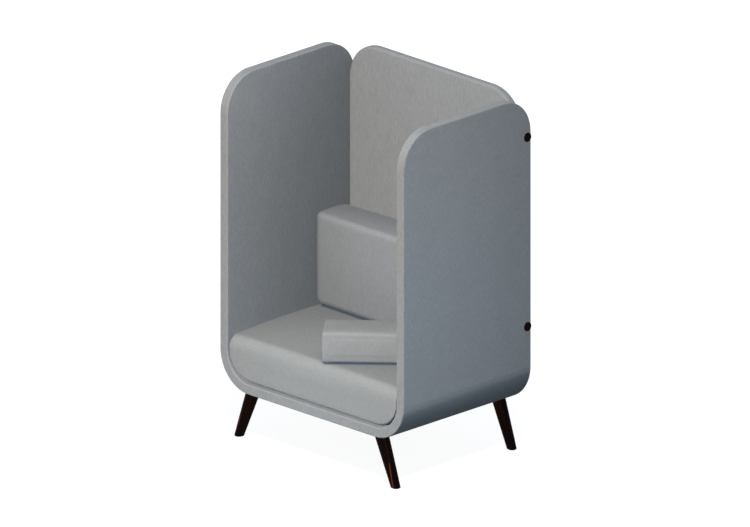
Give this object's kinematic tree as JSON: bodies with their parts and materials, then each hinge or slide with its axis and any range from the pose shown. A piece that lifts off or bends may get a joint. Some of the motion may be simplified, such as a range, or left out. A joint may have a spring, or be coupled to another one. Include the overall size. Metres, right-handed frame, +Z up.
{
  "type": "acoustic high back lounge chair",
  "caption": "High back lounge chair: a padded, bent plywood shell wraps a deep seat with a back cushion, a loose lumbar cushion and splayed wooden legs.",
  "frame": {"origin": "centre of the overall box, at floor level under the glides", "axes": "+Z up, the chair faces -Y, +X is the right side seen from the front"},
  "size_m": [1.038, 0.715, 1.5],
  "materials": {
    "wool_fabric": "matte",
    "cushion_fabric": "matte",
    "dark_wood": "satin",
    "plywood": "matte",
    "beech": "matte",
    "zinc_steel": "satin",
    "black_plastic": "matte"
  },
  "bodies": {
    "chair": {"shell_core": "plywood", "inner_upholstery": "wool_fabric", "outer_upholstery": "wool_fabric", "back_core": "plywood", "back_front_upholstery": "wool_fabric", "back_rear_upholstery": "wool_fabric", "seat_cushion": "cushion_fabric", "back_cushion": "cushion_fabric", "front_left_leg": "dark_wood", "front_right_leg": "dark_wood", "rear_left_leg": "dark_wood", "rear_right_leg": "dark_wood", "leg_spacers": "plywood", "leg_bolts": "zinc_steel", "leg_washers": "zinc_steel", "leg_inserts": "zinc_steel", "leg_dowels": "beech", "foot_glides": "black_plastic", "connector_bolts": "zinc_steel", "connector_sleeves": "zinc_steel", "barrel_nuts": "zinc_steel", "panel_dowels": "beech", "left_bolt_caps": "dark_wood", "right_bolt_caps": "dark_wood"},
    "loose_cushion": {"lumbar_cushion": "cushion_fabric"}
  },
  "joints": [
    {"name": "lumbar_lift", "type": "slide", "parent": "chair", "child": "loose_cushion", "axis": [0, 0, 1], "range_m": [0, 0.95]}
  ]
}
